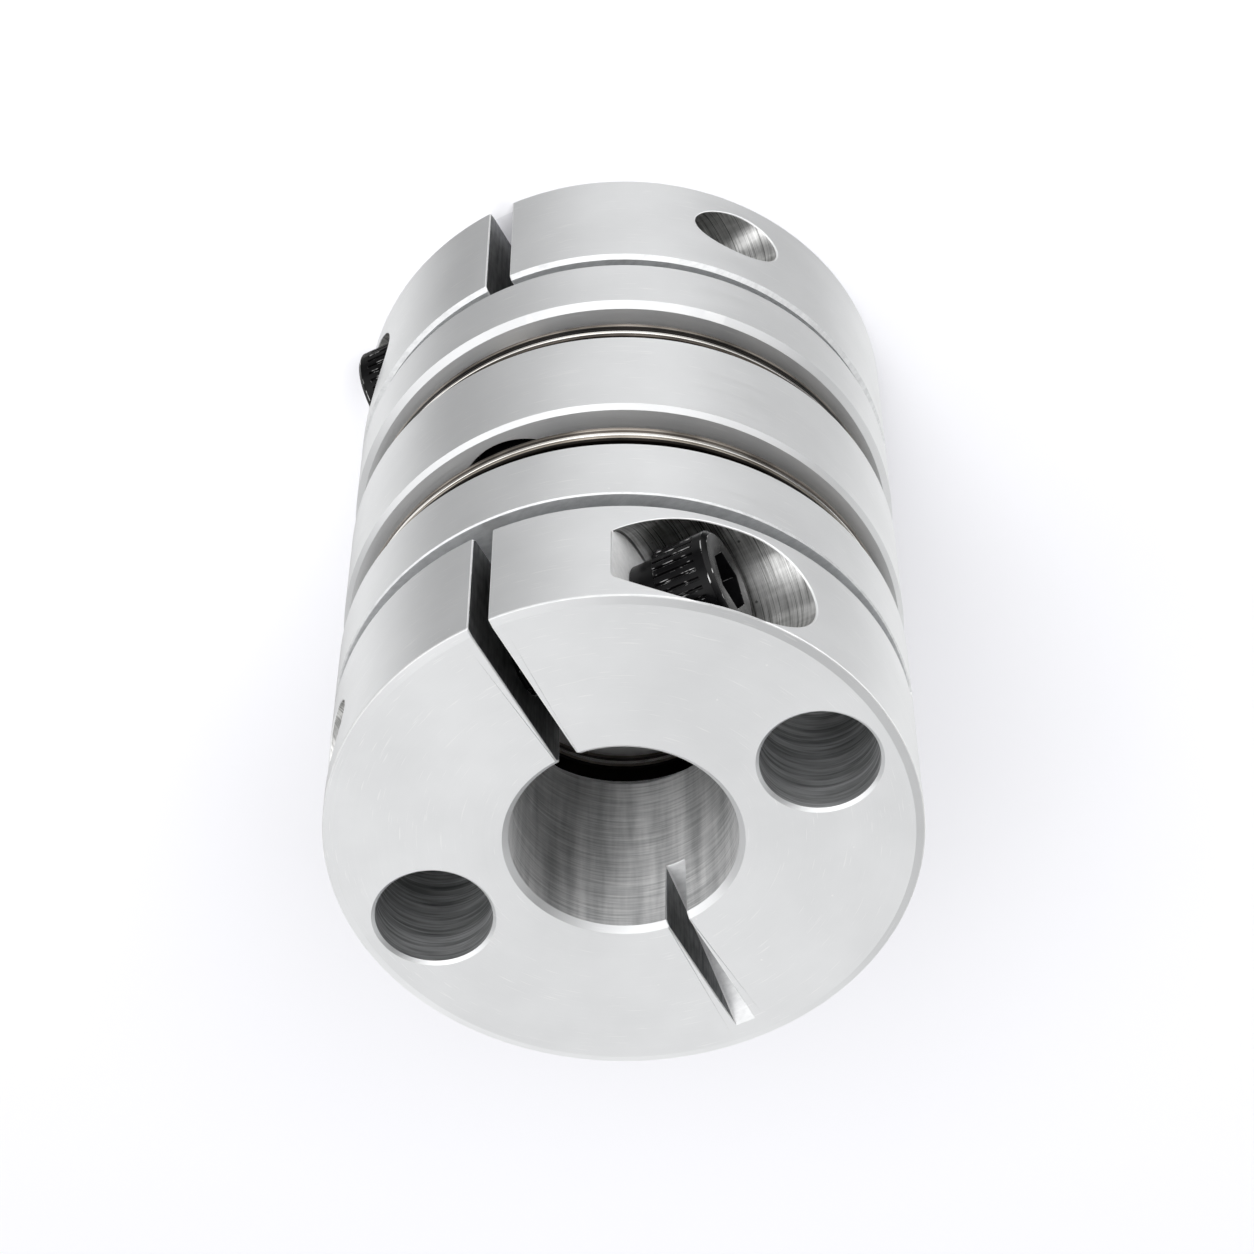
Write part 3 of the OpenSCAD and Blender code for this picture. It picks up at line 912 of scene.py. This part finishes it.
def socket_screw(head_r, head_h, shank_len, rim_h, knurled):
    """A socket screw in black steel with its head above z = 0 and its threaded shank below."""
    tip = SHANK_R / 4
    edge = rim_h / 3 if knurled else PLAIN_HEAD_EDGE
    core_r = SHANK_R - THREAD_DEPTH
    screw = solid("screw", turned([
        (0, -shank_len),
        (core_r - tip / 2, -shank_len),
        (core_r, -shank_len + tip / 2),
        (core_r, 0),
        (head_r, 0),
        (head_r, head_h - edge),
        (head_r - edge, head_h),
        (0, head_h),
    ], SCREW_STEPS), black)
    combine(screw, solid("thread", thread_ridge(SHANK_R, shank_len - THREAD_PITCH), black), "UNION")
    if knurled:
        teeth = bmesh.new()
        bmesh.ops.create_circle(teeth, cap_ends=True, segments=KNURL_COUNT * KNURL_STEPS, radius=head_r + 1)
        for index, vert in enumerate(sorted(teeth.verts, key=lambda v: math.atan2(v.co.y, v.co.x))):
            if index % KNURL_STEPS < KNURL_ROOTS:
                vert.co *= (head_r - KNURL_DEPTH) / (head_r + 1)
        top = bmesh.ops.extrude_face_region(teeth, geom=teeth.faces[:])["geom"]
        moved = [v for v in top if isinstance(v, bmesh.types.BMVert)]
        bmesh.ops.translate(teeth, verts=moved, vec=(0, 0, head_h - rim_h + OVER))
        bmesh.ops.translate(teeth, verts=teeth.verts, vec=(0, 0, -OVER))
        bmesh.ops.recalc_face_normals(teeth, faces=teeth.faces)
        grooved = rod(
            head_r + OVER, head_h - rim_h + OVER - 2 * GROOVE_PLAY, (0, 0, GROOVE_PLAY - OVER), (0, 0, 1),
        )
        groove = solid("groove", grooved, black)
        combine(groove, solid("teeth", teeth, black))
        combine(screw, groove)
    socket = rod(SOCKET_R, SOCKET_DEPTH + OVER, (0, 0, head_h - SOCKET_DEPTH), (0, 0, 1), 6)
    combine(screw, solid("socket", socket, black))
    break_edges(screw, SCREW_BREAK, SCREW_EDGE, worn if knurled else None)
    return screw


def collar(outer_r, height, material):
    """A turned collar standing on z = 0, with its outer edges broken."""
    bm = turned([
        (SHANK_R + FIT, 0),
        (outer_r - COLLAR_EDGE, 0),
        (outer_r, COLLAR_EDGE),
        (outer_r, height - COLLAR_EDGE),
        (outer_r - COLLAR_EDGE, height),
        (SHANK_R + FIT, height),
    ], ROD_STEPS)
    return solid("collar", bm, material)


def place_copies(shape, name, places):
    """Puts one copy of a shape in the lower half and one in the upper half, which is turned over."""
    for side, place in places.items():
        mesh = shape.data.copy()
        mesh.transform(place)
        if side == "upper":
            mesh.transform(turned_over)
        node = "%s_%s" % (side, name)
        piece = bpy.data.objects.new("piece_" + node, mesh)
        scene.collection.objects.link(piece)
        dress(piece, node)


black = black_material()
worn = worn_material()
head_outwards = Matrix.Rotation(-math.pi / 2, 4, "Y")
on_floor = {
    side: Matrix.Translation((-sizes["pocket_floor"], sizes["screw_y"], SCREW_Z)) @ head_outwards
    for side, sizes in HUBS.items()
}
on_collar = {side: place @ Matrix.Translation((0, 0, CLAMP_COLLAR_T)) for side, place in on_floor.items()}
clamp_screw = socket_screw(HEAD_R, HEAD_H, SCREW_LEN, RIM_H, True)
place_copies(clamp_screw, "clamp_screw", on_collar)
bpy.data.meshes.remove(clamp_screw.data)
clamp_collar = collar(CLAMP_COLLAR_R, CLAMP_COLLAR_T, black)
place_copies(clamp_collar, "clamp_collar", on_floor)
bpy.data.meshes.remove(clamp_collar.data)

# Disc screws and their collars
# Four screws a side go through the discs between two turned steel collars. Screws 1 and 2 are held by
# the hub and have their heads in the spacer, and screws 3 and 4 are held by the spacer.
DISC_HEAD_R = 2.25
DISC_HEAD_H = 2.5
FLANGE_THREAD = 3.2
SPACER_THREAD = 2.2
COLLAR_R = 2.4

turned_steel = steel_material("turned_collar_steel", "8F8B86", "B5B1AB", 0.33)
long_screw = socket_screw(DISC_HEAD_R, DISC_HEAD_H, DISC_GAP + FLANGE_THREAD, 0, False)
short_screw = socket_screw(DISC_HEAD_R, DISC_HEAD_H, DISC_GAP + SPACER_THREAD, 0, False)
disc_collar = collar(COLLAR_R, COLLAR_T, turned_steel)
for station in STATIONS:
    x, y = station_centre(station)
    held_by_hub = station < 3
    by_hub = Matrix.Translation((x, y, HUB_LEN))
    by_spacer = Matrix.Translation((x, y, SPACER_LOW))
    under_spacer = by_spacer @ Matrix.Translation((0, 0, -COLLAR_T))
    if held_by_hub:
        screw, at, seat, head = long_screw, by_spacer, by_hub, under_spacer
    else:
        screw, at, seat, head = short_screw, by_hub @ Matrix.Rotation(math.pi, 4, "X"), under_spacer, by_hub
    for shape, name, slot, place in (
        (screw, "disc_screw", "black_oxide_steel", at),
        (disc_collar, "seat_collar", "collar_steel", seat),
        (disc_collar, "head_collar", "collar_steel", head),
    ):
        place_copies(shape, "%s_%d" % (name, station), {"lower": place, "upper": place})
for shape in (long_screw, short_screw, disc_collar):
    bpy.data.meshes.remove(shape.data)
